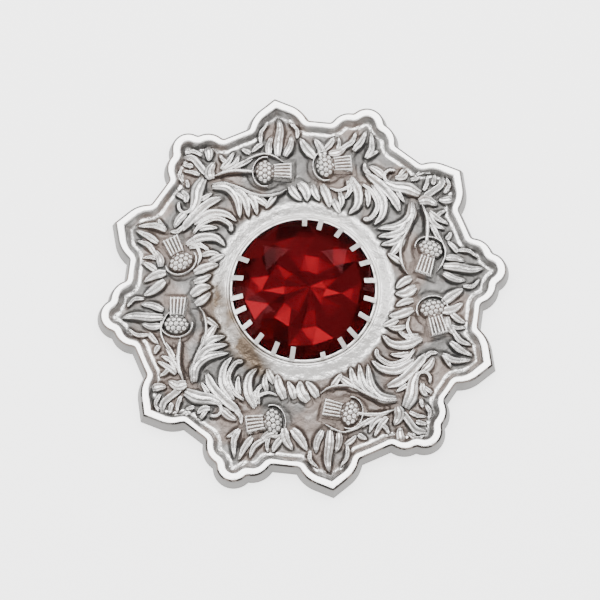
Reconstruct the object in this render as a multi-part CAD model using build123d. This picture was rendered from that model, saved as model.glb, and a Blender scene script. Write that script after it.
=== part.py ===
from build123d import *
from collections import namedtuple
from math import atan2, cos, degrees, hypot, radians, sin, tan
import os

# A round plaid brooch: a hollow-backed cast plate with a lobed rim and raised
# thistles and acanthus, a clawed cup, a big faceted stone and a pin behind.
# The brooch lies on its back: the plate's back edge is at Z = 0, the stone looks
# along +Z and one pointed lobe of the rim lies along +Y.  Millimetres, degrees.

# Rim of the plate
tip_radius = 38.1
lobe_depth = 4.7
pointed_half_turn = 10.5
trefoil_half_turn = 11.9
rim_width = 2.2
rim_height = 4.0
rim_draft = 0.75

# Sunk field, plain band and collar round the stone
cast_wall = 1.3
field_edge_height = 2.1
band_width = 2.5
band_edge_height = 4.8
band_rise = 0.35
collar_width = 1.5
collar_height = 5.7
collar_bevel_width = 0.45
collar_bevel_drop = 0.2
seat_floor_height = 2.1
seat_floor_thickness = 1.0
seat_clearance = 0.08

# Raised work on the field
relief_sink = 0.45
leaf_width_share = 0.221
leaf_height = 1.3
spray_length = 8.6
thistle_sides = 16
thistle_length = 8.6
bulb_radius = 2.75
bulb_length = 5.5
bulb_drop = 0.5
neck_radius = 1.65
flower_radius = 2.65
flower_bevel = 0.35
flower_ribs = 3
rib_width = 0.5
rib_overhang = 0.25
rib_stand = 0.16
fringe_leaves = 36
fringe_width = 1.5
fringe_height = 0.6
fringe_reach = 0.2
fringe_tip = 0.02
fringe_lean = 0.8

# Stone
stone_diameter = 26.0
stone_sides = 8
table_diameter = 15.0
crown_corner_share = 0.83
pavilion_corner_share = 0.60
girdle_thickness = 0.5
crown_height = 2.0
pavilion_depth = 3.0
stone_clearance = 0.08

# Cup and its claws
cup_wall = 0.45
cup_floor = 0.35
claw_width = 1.05
claw_thickness = 0.34
claw_bevel = 0.14
claw_reach = 2.1
claw_spread = 2.5

# Pin behind the plate
wire_diameter = 1.1
wire_seating = 0.1
point_length = 3.3
point_radius = 0.11
pin_floor_gap = 0.4
pin_rim_gap = 4.8
pin_tail = 3.6
hinge_length = 3.4
hinge_width = 3.6
catch_length = 2.4
catch_wall = 0.6
catch_lip = 0.5
catch_play = 0.2
pin_boss_gap = 1.1
solder_gap = 0.08

# Sizes that follow from these
stone_radius = stone_diameter / 2
table_radius = table_diameter / 2
cup_inner_radius = stone_radius + stone_clearance
cup_outer_radius = cup_inner_radius + cup_wall
seat_radius = cup_outer_radius + seat_clearance
collar_radius = seat_radius + collar_width
seat_boss_radius = seat_radius + cast_wall
cup_base = seat_floor_height + seat_clearance
culet_height = cup_base + cup_floor + stone_clearance
girdle_base = culet_height + pavilion_depth
girdle_top = girdle_base + girdle_thickness
facet_half_turn = 180 / stone_sides
crown_corner_radius = crown_corner_share * stone_radius
crown_corner_drop = crown_height * (
    (crown_corner_radius * cos(radians(facet_half_turn)) - table_radius) / (stone_radius - table_radius))
crown_angle = degrees(atan2(crown_height - crown_corner_drop, stone_radius - crown_corner_radius))
valley_radius = tip_radius - lobe_depth
band_radius = collar_radius + band_width
field_inner_edge = valley_radius - rim_width
field_width = field_inner_edge - band_radius
field_slope = (band_edge_height - field_edge_height) / (tip_radius - rim_width - band_radius)
leaf_width = leaf_width_share * field_width
block_height = band_edge_height - pin_floor_gap
wire_height = pin_floor_gap + catch_wall + wire_diameter / 2 - wire_seating
wire_line = seat_boss_radius + pin_boss_gap + wire_diameter / 2
wire_end = ((field_inner_edge - pin_rim_gap) ** 2 - wire_line**2) ** 0.5
half_span = wire_end - pin_tail

# The twelve lobes round the rim, as uneven as the casting: the turn of each axis
# and its tip's radius as a share of tip_radius.
Lobe = namedtuple("Lobe", "pointed turn reach")
lobes = (
    Lobe(False, 0 - 1.2, 1.008), Lobe(True, 30, 1.0),
    Lobe(False, 60 + 1.3, 0.995), Lobe(True, 90, 1.0),
    Lobe(False, 120, 1.008), Lobe(True, 150 + 1.0, 1.0),
    Lobe(False, 180 - 1.0, 1.008), Lobe(True, 210, 1.0),
    Lobe(False, 240, 1.008), Lobe(True, 270, 1.0),
    Lobe(False, 300 + 2.2, 0.995), Lobe(True, 330, 1.0),
)
reach_radius = tip_radius * max(lobe.reach for lobe in lobes)

# Straight points of one half of each kind of lobe: side is a share of the lobe's
# half width, rise a share of the way from the valley circle to the lobe's tip.
LobePoint = namedtuple("LobePoint", "side rise")
lobe_foot = LobePoint(1, 0)
lobe_tip = LobePoint(0, 1)
pointed_shoulder = LobePoint(0.56, 0.62)
pointed_flank = LobePoint(0.86, 0.30)
trefoil_notch = LobePoint(0.51, 0.60)
trefoil_side_bump = LobePoint(0.83, 0.38)

# Sections along a raised leaf: a share of its length, and how much of its full
# width and height it has there.
LeafSection = namedtuple("LeafSection", "along fullness")
leaf_sections = (LeafSection(0, 0), LeafSection(0.28, 1), LeafSection(0.62, 0.85), LeafSection(1, 0))

# Half outline of a thistle's bulb from its stalk to its widest part, as shares of
# bulb_radius along the thistle and out from its axis.
BulbPoint = namedtuple("BulbPoint", "along out")
bulb_points = (BulbPoint(-1.1, 0), BulbPoint(-0.95, 0.5), BulbPoint(-0.45, 0.92), BulbPoint(0.25, 1))

# Thistles, two in each quarter: where the middle of the bulb and the end of the
# flower lie, as a turn from +X and a share of the field from band to rim.
Thistle = namedtuple("Thistle", "bulb_turn bulb_out flower_turn flower_out")
thistles = (
    Thistle(99.2, 0.43, 83.5, 0.36),
    Thistle(72.0, 0.46, 56.5, 0.68),
    Thistle(10.4, 0.50, -4.0, 0.28),
    Thistle(-16.2, 0.44, -31.0, 0.74),
    Thistle(-77.8, 0.47, -95.0, 0.26),
    Thistle(-111.3, 0.51, -125.5, 0.76),
    Thistle(-173.2, 0.46, -190.4, 0.38),
    Thistle(158.0, 0.40, 146.5, 0.76),
)

# Leaves on the ring of the field, repeated in each quarter.  Each leaf runs from
# its root over its middle to its tip: turns are measured from the quarter's own
# axis, outs are shares of the field, width and height are shares of leaf_width
# and leaf_height.
Leaf = namedtuple("Leaf", "root_turn root_out mid_turn mid_out tip_turn tip_out width height")
quarter_leaves = (
    Leaf(49, 0.74, 34, 0.36, 13, 0.15, 0.85, 1.00),
    Leaf(43, 0.76, 33, 0.64, 20, 0.50, 0.40, 0.75),
    Leaf(44, 0.50, 46, 0.30, 42, 0.08, 0.80, 0.85),
    Leaf(38, 0.42, 37, 0.24, 33, 0.06, 0.75, 0.85),
    Leaf(30, 0.30, 28, 0.18, 24, 0.05, 0.65, 0.75),
    Leaf(51, 0.60, 54, 0.40, 52, 0.14, 0.85, 0.90),
    Leaf(50, 0.80, 58, 0.66, 66, 0.62, 0.60, 0.80),
    Leaf(58, 0.46, 63, 0.32, 61, 0.12, 0.80, 0.85),
    Leaf(-7, 0.60, -9, 0.78, -14, 0.90, 0.75, 0.85),
    Leaf(-1, 0.34, -8, 0.26, -13, 0.12, 0.70, 0.75),
    Leaf(18, 0.72, 13, 0.84, 7, 0.92, 0.65, 0.80),
    Leaf(22, 0.62, 26, 0.80, 23, 0.95, 0.60, 0.80),
    Leaf(-26, 0.26, -33, 0.30, -38, 0.14, 0.75, 0.75),
)

# Sprays in the lobes: a fan of leaves from a root inside the lobe.  Sides are
# shares of the lobe's half width, rises shares of spray_length, which ends at the
# inner edge of the rim at the lobe's tip.
SprayLeaf = namedtuple("SprayLeaf", "root_side root_rise mid_side mid_rise tip_side tip_rise width height")
pointed_spray = (
    SprayLeaf(0.00, 0.00, 0.08, 0.48, 0.02, 0.94, 0.95, 1.10),
    SprayLeaf(-0.08, 0.12, -0.34, 0.44, -0.36, 0.74, 0.75, 1.00),
    SprayLeaf(0.08, 0.12, 0.34, 0.44, 0.36, 0.74, 0.75, 1.00),
    SprayLeaf(-0.12, 0.02, -0.50, 0.16, -0.74, 0.38, 0.65, 0.85),
    SprayLeaf(0.12, 0.02, 0.50, 0.16, 0.74, 0.38, 0.65, 0.85),
)
trefoil_spray = (
    SprayLeaf(0.00, 0.05, 0.08, 0.50, 0.00, 0.94, 1.05, 1.10),
    SprayLeaf(-0.08, 0.10, -0.34, 0.42, -0.58, 0.66, 0.95, 1.00),
    SprayLeaf(0.08, 0.10, 0.34, 0.42, 0.58, 0.66, 0.95, 1.00),
    SprayLeaf(-0.12, 0.00, -0.48, 0.10, -0.76, 0.30, 0.60, 0.80),
    SprayLeaf(0.12, 0.00, 0.48, 0.10, 0.76, 0.30, 0.60, 0.80),
)

# Claws round the stone, at the uneven turns of the real cup.  Reach is a share of
# claw_reach: one claw is broken short, and none is left between 146 and 81 degrees.
Claw = namedtuple("Claw", "turn reach")
claws = (
    Claw(80.8, 0.85), Claw(67.4, 1.0), Claw(49.7, 1.0), Claw(30.8, 1.0),
    Claw(14.6, 1.0), Claw(-1.5, 1.0), Claw(-18.0, 1.0), Claw(-33.9, 1.0),
    Claw(-51.3, 1.0), Claw(-63.6, 0.9), Claw(-82.5, 0.45), Claw(-107.6, 1.0),
    Claw(-123.0, 1.0), Claw(-139.2, 0.9), Claw(-154.7, 0.9), Claw(-168.8, 1.0),
    Claw(-180.4, 1.0), Claw(162.6, 1.0), Claw(145.7, 1.0),
)


def polar(turn, radius, height=0.0):
    angle = radians(turn)
    return Vector(radius * cos(angle), radius * sin(angle), height)


def field_height(point):
    """Height of the sunk field's surface under a point."""
    radius = hypot(point.X, point.Y)
    return band_edge_height - field_slope * (radius - band_radius)


def on_field(turn, out):
    return polar(turn, band_radius + out * field_width)


def half_width(lobe):
    """Half the lobe's width where it leaves the valley circle."""
    return valley_radius * sin(radians(pointed_half_turn if lobe.pointed else trefoil_half_turn))


# Plate: lobed outline, drafted rim and hollow dish
def lobe_place(lobe, point, mirror=1):
    """A point of a lobe's outline, on either side of the lobe's axis."""
    valley_line = (valley_radius**2 - half_width(lobe) ** 2) ** 0.5
    along = valley_line + point.rise * (tip_radius * lobe.reach - valley_line)
    return Vector(mirror * point.side * half_width(lobe), along).rotate(Axis.Z, lobe.turn - 90)


def pointed_lobe(lobe):
    """Ogive lobe: straight from the tip, then a round flank down to the valley."""
    right = [lobe_place(lobe, point) for point in (lobe_foot, pointed_flank, pointed_shoulder, lobe_tip)]
    left = [lobe_place(lobe, point, -1) for point in (pointed_shoulder, pointed_flank, lobe_foot)]
    return [ThreePointArc(*right[:3]), Line(*right[2:]), Line(right[3], left[0]), ThreePointArc(*left)]


def trefoil_lobe(lobe):
    """Three round bumps, the middle one the largest."""
    right = [lobe_place(lobe, point) for point in (lobe_foot, trefoil_side_bump, trefoil_notch, lobe_tip)]
    left = [lobe_place(lobe, point, -1) for point in (trefoil_notch, trefoil_side_bump, lobe_foot)]
    return [ThreePointArc(*right[:3]), ThreePointArc(*right[2:], left[0]), ThreePointArc(*left)]


def plate_outline():
    """The twelve lobes in turn, joined by short straight valleys."""
    edges = []
    for lobe in lobes:
        outline = pointed_lobe(lobe) if lobe.pointed else trefoil_lobe(lobe)
        if edges:
            edges.append(Line(edges[-1] @ 1, outline[0] @ 0))
        edges.extend(outline)
    edges.append(Line(edges[-1] @ 1, edges[0] @ 0))
    return make_face(edges)


def ring_section(*points):
    """A section in the radial plane, turned once round the Z axis."""
    return revolve(make_face(Plane.XZ * Polyline(*points, close=True)), Axis.Z)


def plate_body():
    outline = plate_outline()
    sunk_outline = offset(outline, amount=-rim_width)
    rim = extrude(outline, amount=rim_height, taper=degrees(atan2(rim_draft, rim_height)))
    rim -= extrude(sunk_outline, amount=rim_height)
    dish = ring_section(
        (0, seat_floor_height), (seat_radius, seat_floor_height),
        (seat_radius, collar_height - collar_bevel_drop),
        (seat_radius + collar_bevel_width, collar_height),
        (collar_radius - collar_bevel_width, collar_height),
        (collar_radius, band_edge_height + band_rise),
        (band_radius, band_edge_height), (reach_radius, under_height(reach_radius) + cast_wall),
        (reach_radius, under_height(reach_radius)),
        (seat_boss_radius, under_height(seat_boss_radius)),
        (seat_boss_radius, seat_floor_height - seat_floor_thickness),
        (0, seat_floor_height - seat_floor_thickness),
    )
    dish_outline = offset(outline, amount=-rim_width / 2)
    return rim + (dish & extrude(dish_outline, amount=rim_height + collar_height))


def under_height(radius):
    """Height of the dish's underside at a radius."""
    return band_edge_height - field_slope * (radius - band_radius) - cast_wall


# Raised leaves, thistles and fringe
def raised_leaf(stations, width, height):
    """A leaf with a sharp rib, from a root over a middle to a tip on the field.

    Its foot follows the field, sunk a little into it, and its two flanks rise
    from the foot to the rib and fall to nothing at both ends.
    """
    root, middle, tip = stations
    control = middle * 2 - (root + tip) * 0.5
    shares = [section.along for section in leaf_sections]
    spine = [root * (1 - t) ** 2 + control * (2 * t * (1 - t)) + tip * t**2 for t in shares]
    tangents = [(control - root) * (1 - t) + (tip - control) * t for t in shares]
    buried = relief_sink / height
    spine[0] -= (spine[1] - spine[0]) * buried
    spine[-1] += (spine[-1] - spine[-2]) * buried
    left, right, rib = [], [], []
    for point, tangent, section in zip(spine, tangents, leaf_sections):
        ground = field_height(point)
        half_foot = section.fullness * (1 + buried) * width / 2
        across = Vector(-tangent.Y, tangent.X).normalized() * half_foot
        low = Vector(point.X, point.Y, ground - relief_sink)
        left.append(low + across)
        right.append(low - across)
        rib.append(Vector(point.X, point.Y, ground + section.fullness * height))
    rib[0], rib[-1] = left[0], left[-1]
    corners = []
    for a, b in ((left, rib), (rib, right), (right, left)):
        corners += [[a[0], a[1], b[1]], [a[1], a[2], b[2]], [a[1], b[2], b[1]], [a[2], a[3], b[2]]]
    return faceted(corners)


def faceted(corner_lists):
    """A closed solid from the corners of its flat faces."""
    return Solid(Shell([Face(Wire.make_polygon(corners, close=True)) for corners in corner_lists]))


def ring_leaf(leaf, quarter_turn):
    stations = (
        on_field(quarter_turn + leaf.root_turn, leaf.root_out),
        on_field(quarter_turn + leaf.mid_turn, leaf.mid_out),
        on_field(quarter_turn + leaf.tip_turn, leaf.tip_out),
    )
    return raised_leaf(stations, leaf.width * leaf_width, leaf.height * leaf_height)


def spray_leaf(leaf, lobe):
    root_radius = tip_radius * lobe.reach - rim_width - spray_length

    def place(side, rise):
        return Vector(side * half_width(lobe), root_radius + rise * spray_length).rotate(Axis.Z, lobe.turn - 90)

    stations = (
        place(leaf.root_side, leaf.root_rise),
        place(leaf.mid_side, leaf.mid_rise),
        place(leaf.tip_side, leaf.tip_rise),
    )
    return raised_leaf(stations, leaf.width * leaf_width, leaf.height * leaf_height)


def fringe_leaf(turn):
    """A small leaf of the inner fringe, its tip towards the stone."""
    stations = (
        on_field(turn, fringe_reach),
        on_field(turn + fringe_lean, (fringe_reach + fringe_tip) / 2),
        on_field(turn, fringe_tip),
    )
    return raised_leaf(stations, fringe_width, fringe_height)


def thistle(row):
    """A round bulb and a flaring ribbed flower, half sunk in the field."""
    bulb = on_field(row.bulb_turn, row.bulb_out)
    end = on_field(row.flower_turn, row.flower_out)
    flank = [(point.along * bulb_radius, point.out * bulb_radius) for point in bulb_points]
    neck = flank[0][0] + bulb_length
    finish = flank[0][0] + thistle_length
    flower = [(neck, neck_radius), (finish - flower_bevel, flower_radius), (finish, flower_radius - flower_bevel)]
    head = round_head(flank + flower + [(finish, 0)])
    earth = Box(3 * thistle_length, 3 * thistle_length, 3 * bulb_radius,
                align=(Align.CENTER, Align.CENTER, Align.MAX))
    solids = [head - Pos(0, 0, bulb_drop - relief_sink) * earth]
    for rib in range(flower_ribs):
        side = (rib - (flower_ribs - 1) / 2) * 2 / flower_ribs
        low = Vector(neck, neck_radius * side)
        high = Vector(finish + rib_overhang, flower_radius * side)
        solids.append(flower_rib(low, high))
    ground = Vector(bulb.X, bulb.Y, field_height(bulb) - bulb_drop)
    upright = bulb.normalized() * field_slope + Vector(0, 0, 1)
    place = Plane(ground, x_dir=end - bulb, z_dir=upright).location
    return [place * solid for solid in solids]


def round_head(outline):
    """A many-sided solid round the X axis, from a half outline that begins and ends on it."""
    turns = [radians(360 / thistle_sides * (k + 0.5)) for k in range(thistle_sides)]
    rings = [[Vector(along, out * cos(a), out * sin(a)) for a in turns] for along, out in outline[1:-1]]
    stalk = Vector(outline[0][0], 0, 0)
    corners = [rings[-1]]
    for k in range(thistle_sides):
        corners.append([stalk, rings[0][k - 1], rings[0][k]])
        corners += [[near[k - 1], far[k - 1], far[k], near[k]] for near, far in zip(rings, rings[1:])]
    return faceted(corners)


def flower_rib(low, high):
    """A fin along the top of a thistle's flower, from the neck to past its end."""
    across = Vector(low.Y - high.Y, high.X - low.X).normalized() * (rib_width / 2)
    foot = [low - across, high - across, high + across, low + across]
    neck_top = Vector(low.X, low.Y, neck_radius + rib_stand)
    end_top = Vector(high.X, high.Y, flower_radius + rib_stand)
    return faceted([
        foot,
        [foot[0], foot[1], end_top], [foot[0], end_top, neck_top],
        [foot[3], end_top, foot[2]], [foot[3], neck_top, end_top],
        [foot[0], neck_top, foot[3]], [foot[1], foot[2], end_top],
    ])


def raised_work():
    solids = []
    for quarter in range(4):
        solids += [ring_leaf(leaf, 90 * quarter) for leaf in quarter_leaves]
    for lobe in lobes:
        solids += [spray_leaf(leaf, lobe) for leaf in (pointed_spray if lobe.pointed else trefoil_spray)]
    for step in range(fringe_leaves):
        solids.append(fringe_leaf(360 / fringe_leaves * (step + 0.5)))
    for row in thistles:
        solids += thistle(row)
    return solids


# Cup with claws bent over the stone
def claw(row):
    """A flat tab that rises from the cup's wall and leans over the crown."""
    reach = claw_reach * row.reach
    lean = radians(crown_angle + claw_spread)
    under = girdle_top + stone_clearance
    tip_height = under + reach * tan(lean)
    lift = claw_thickness / cos(lean)
    section = Polyline(
        (cup_inner_radius, girdle_base), (cup_inner_radius, under),
        (cup_inner_radius - reach, tip_height), (cup_inner_radius - reach + claw_bevel, tip_height + lift),
        (cup_outer_radius - claw_bevel, under + lift), (cup_outer_radius, under + lift - claw_bevel),
        (cup_outer_radius, girdle_base),
        close=True,
    )
    tab = extrude(make_face(Plane.XZ * section), amount=claw_width / 2, both=True)
    return Rot(0, 0, row.turn) * tab


def stone_setting():
    cup = ring_section(
        (0, cup_base), (cup_outer_radius, cup_base), (cup_outer_radius, girdle_top),
        (cup_inner_radius, girdle_top), (cup_inner_radius, cup_base + cup_floor),
        (0, cup_base + cup_floor),
    )
    return cup + [claw(row) for row in claws]


# Stone: a round cut with a table, a crown, a girdle and a pavilion
def cut_stone():
    table_height = girdle_top + crown_height
    low_radius = pavilion_corner_share * stone_radius
    low_height = culet_height + pavilion_depth * pavilion_corner_share * cos(radians(facet_half_turn))

    def corners(radius, height, first, step, count):
        return [polar(facet_half_turn * (first + step * k), radius, height) for k in range(count)]

    corner = corners(table_radius, table_height, 0, 2, stone_sides)
    inner = corners(crown_corner_radius, table_height - crown_corner_drop, 1, 2, stone_sides)
    upper = corners(stone_radius, girdle_top, 0, 1, 2 * stone_sides)
    lower = corners(stone_radius, girdle_base, 0, 1, 2 * stone_sides)
    low = corners(low_radius, low_height, 1, 2, stone_sides)
    culet = Vector(0, 0, culet_height)
    facets = [corner]
    for k in range(stone_sides):
        behind = k - 1
        after = (k + 1) % stone_sides
        here, middle, ahead = 2 * k, 2 * k + 1, (2 * k + 2) % (2 * stone_sides)
        facets += [
            [corner[k], corner[after], inner[k]],
            [corner[k], inner[behind], upper[here]], [corner[k], upper[here], inner[k]],
            [inner[k], upper[here], upper[middle]], [inner[k], upper[middle], upper[ahead]],
            [upper[here], lower[here], lower[middle], upper[middle]],
            [upper[middle], lower[middle], lower[ahead], upper[ahead]],
            [lower[here], low[k], lower[middle]], [lower[middle], low[k], lower[ahead]],
            [lower[here], low[behind], culet], [lower[here], culet, low[k]],
        ]
    return faceted(facets)


# Pin: hinge block, straight wire and catch in one piece, soldered behind the plate
def back_pin():
    hinge = Pos(-half_span, wire_line, pin_floor_gap) * Box(
        hinge_length, hinge_width, block_height, align=(Align.CENTER, Align.CENTER, Align.MIN))
    catch = Pos(half_span, wire_line, pin_floor_gap) * catch_hook()
    wire_section = Polyline(
        (-half_span, 0), (-half_span, wire_diameter / 2), (wire_end - point_length, wire_diameter / 2),
        (wire_end, point_radius), (wire_end, 0), close=True)
    wire = Pos(0, wire_line, wire_height) * revolve(make_face(Plane.XZ * wire_section), Axis.X)
    boss_side = seat_boss_radius + solder_gap
    above = ring_section(
        (0, rim_height + collar_height), (0, 0), (boss_side, 0), (boss_side, under_height(boss_side) - solder_gap),
        (reach_radius, under_height(reach_radius) - solder_gap), (reach_radius, rim_height + collar_height),
    )
    return hinge + catch + wire - above


def catch_hook():
    """A strip bent to a hook: back wall, shelf under the wire and a low lip."""
    inside = wire_diameter / 2 + catch_play
    section = Polyline(
        (-inside - catch_wall, 0), (inside + catch_wall, 0),
        (inside + catch_wall, catch_wall + catch_lip),
        (inside, catch_wall + catch_lip),
        (inside, catch_wall), (-inside, catch_wall),
        (-inside, block_height), (-inside - catch_wall, block_height),
        close=True,
    )
    return extrude(make_face(Plane.YZ * section), amount=catch_length / 2, both=True)


if __name__ == "__main__":
    os.makedirs("parts", exist_ok=True)
    pieces = {
        "plate": plate_body() + raised_work(),
        "stone_setting": stone_setting(),
        "stone": cut_stone(),
        "back_pin": back_pin(),
    }
    for name, solid in pieces.items():
        export_step(solid, f"parts/{name}.step")
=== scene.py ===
import math

import bmesh
import bpy
import numpy as np
from mathutils import Matrix, Vector
from mathutils.kdtree import KDTree


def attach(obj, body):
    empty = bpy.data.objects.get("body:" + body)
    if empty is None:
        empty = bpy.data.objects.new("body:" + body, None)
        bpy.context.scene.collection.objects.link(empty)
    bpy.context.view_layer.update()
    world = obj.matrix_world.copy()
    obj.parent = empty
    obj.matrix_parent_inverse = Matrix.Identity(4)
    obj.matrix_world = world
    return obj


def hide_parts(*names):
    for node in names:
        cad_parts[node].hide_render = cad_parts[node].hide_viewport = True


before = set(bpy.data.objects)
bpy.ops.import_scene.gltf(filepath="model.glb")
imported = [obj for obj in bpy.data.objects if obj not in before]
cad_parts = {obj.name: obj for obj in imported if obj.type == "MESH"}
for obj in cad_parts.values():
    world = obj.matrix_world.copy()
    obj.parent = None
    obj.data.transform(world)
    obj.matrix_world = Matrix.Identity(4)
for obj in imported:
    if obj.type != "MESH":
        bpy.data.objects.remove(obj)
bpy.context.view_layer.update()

# Cast plate, its lobed outline.
# One hollow-backed casting in soft metal, plated bright.  Six pointed lobes and six
# trefoil lobes stand round the rim, as uneven as the mould that they came from.
mm = 0.001
tip_radius = 38.1
lobe_depth = 4.7
valley_radius = tip_radius - lobe_depth
pointed_half_turn = math.radians(10.5)
trefoil_half_turn = math.radians(11.9)
lobes = (
    # pointed, turn, reach
    (False, 0 - 1.2, 1.008), (True, 30, 1.0), (False, 60 + 1.3, 0.995), (True, 90, 1.0),
    (False, 120, 1.008), (True, 150 + 1.0, 1.0), (False, 180 - 1.0, 1.008), (True, 210, 1.0),
    (False, 240, 1.008), (True, 270, 1.0), (False, 300 + 2.2, 0.995), (True, 330, 1.0),
)
# Half a lobe, right side: shares of its half width and of its rise over the foot.
pointed_half = ((1, 0), (0.86, 0.30), (0.56, 0.62), (0, 1))
trefoil_half = ((1, 0), (0.83, 0.38), (0.51, 0.60), (0, 1))
outline_step = 0.06


def arc_through(first, middle, last):
    """Points along the circle through three points of the plane, in complex numbers."""
    turn = (last - first) / (middle - first)
    centre = (middle - first) * (turn - abs(turn) ** 2) / (2j * turn.imag) + first
    start, sweep = first - centre, np.angle((last - centre) / (first - centre))
    if np.sign(sweep) != np.sign(np.angle((middle - centre) / (first - centre))):
        sweep -= math.tau * np.sign(sweep)
    count = max(2, int(abs(start * sweep) / outline_step))
    return centre + start * np.exp(1j * np.linspace(0, sweep, count))


def straight(first, last):
    """Points along the straight line between two points."""
    return np.linspace(first, last, max(2, int(abs(last - first) / outline_step)))


def lobe_outline(pointed, turn, reach):
    """The runs of points round one lobe, four for a pointed one and three for a trefoil."""
    half_turn = pointed_half_turn if pointed else trefoil_half_turn
    half_width, foot = valley_radius * math.sin(half_turn), valley_radius * math.cos(half_turn)
    axis = np.exp(1j * math.radians(turn))

    def place(side, rise):
        return axis * (foot + rise * (tip_radius * reach - foot) - 1j * side * half_width)

    half = pointed_half if pointed else trefoil_half
    right = [place(side, rise) for side, rise in half]
    left = [place(-side, rise) for side, rise in half]
    if pointed:
        over_the_top = [straight(*right[2:]), straight(*left[:1:-1])]
    else:
        over_the_top = [arc_through(right[2], right[3], left[2])]
    return [arc_through(*right[:3]), *over_the_top, arc_through(*left[2::-1])]


runs = []
outline_corners = []
for lobe in lobes:
    pieces_of_lobe = lobe_outline(*lobe)
    outline_corners += [run[0] for run in pieces_of_lobe] + [pieces_of_lobe[-1][-1]]
    if runs:
        runs.append(straight(runs[-1][-1], pieces_of_lobe[0][0]))
    runs += pieces_of_lobe
runs.append(straight(runs[-1][-1], runs[0][0]))
outline = np.concatenate(runs)
edge_tree = KDTree(len(outline))
for number, point in enumerate(outline):
    edge_tree.insert((point.real, point.imag, 0), number)
edge_tree.balance()

# Cast plate, the grid of its surface.
# Columns run out from the stone's axis to the rim and rings follow the outline, so
# that the rim keeps crisp edges.  All heights are in millimetres over the back edge.
columns = 820
field_rings = 64
turns = np.linspace(0, math.tau, columns, endpoint=False)
for corner in np.angle(outline_corners) % math.tau:
    turns[int(round(corner / math.tau * columns)) % columns] = corner
rim_height = 4.0
rim_draft = 0.75
rim_width_in_valleys = 1.95
rim_width_in_lobes = 2.45
width_blend_columns = 9
collar_radius = 15.11
seat_radius = 13.61
boss_radius = 14.91
band_radius = 17.61
band_edge_height = 4.8
band_rise = 0.35
sweep_start = 16.1
sweep_end = 14.2
collar_sweep = 0.42
field_slope = 0.1476
cast_wall = 1.3
seat_floor = 2.1
boss_foot = 1.1
search_depth = 6.0
search_step = 0.06
least_growth = 1e-6

order = np.argsort(np.angle(outline) % math.tau)
outline_radius = np.interp(
    turns, (np.angle(outline) % math.tau)[order], np.abs(outline)[order], period=math.tau)
lobe_share = np.clip((outline_radius - valley_radius) / lobe_depth, 0, 1)
rim_width = rim_width_in_valleys + (rim_width_in_lobes - rim_width_in_valleys) * lobe_share
shifts = range(-width_blend_columns, width_blend_columns + 1)
rim_width = sum(np.roll(rim_width, shift) for shift in shifts) / len(shifts)

# Distance from the outline along every column, which has to grow all the way inwards.
inward = np.arange(0, search_depth, search_step)
edge_distance = np.empty((len(inward), columns))
for row, depth in enumerate(inward):
    for column, turn in enumerate(turns):
        r = outline_radius[column] - depth
        edge_distance[row, column] = edge_tree.find((r * math.cos(turn), r * math.sin(turn), 0))[2]
edge_distance = np.maximum.accumulate(edge_distance, axis=0) + inward[:, None] * least_growth


def ring_at(distance):
    """Radius on every column of the curve that runs inside the outline at a distance."""
    wanted = np.broadcast_to(distance, turns.shape)
    radii = [outline_radius[c] - np.interp(wanted[c], edge_distance[:, c], inward) for c in range(columns)]
    return np.array(radii)


def smooth(share):
    share = np.clip(share, 0, 1)
    return share * share * (3 - 2 * share)


def ground_height(radius):
    """The sunk field, the plain band and the collar's sweep, with nothing on them."""
    field = band_edge_height - field_slope * (radius - band_radius)
    band = band_edge_height + band_rise * (band_radius - radius) / (band_radius - collar_radius)
    sweep = collar_sweep * smooth((sweep_start - radius) / (sweep_start - sweep_end))
    return np.where(radius < band_radius, band, field) + sweep


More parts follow.
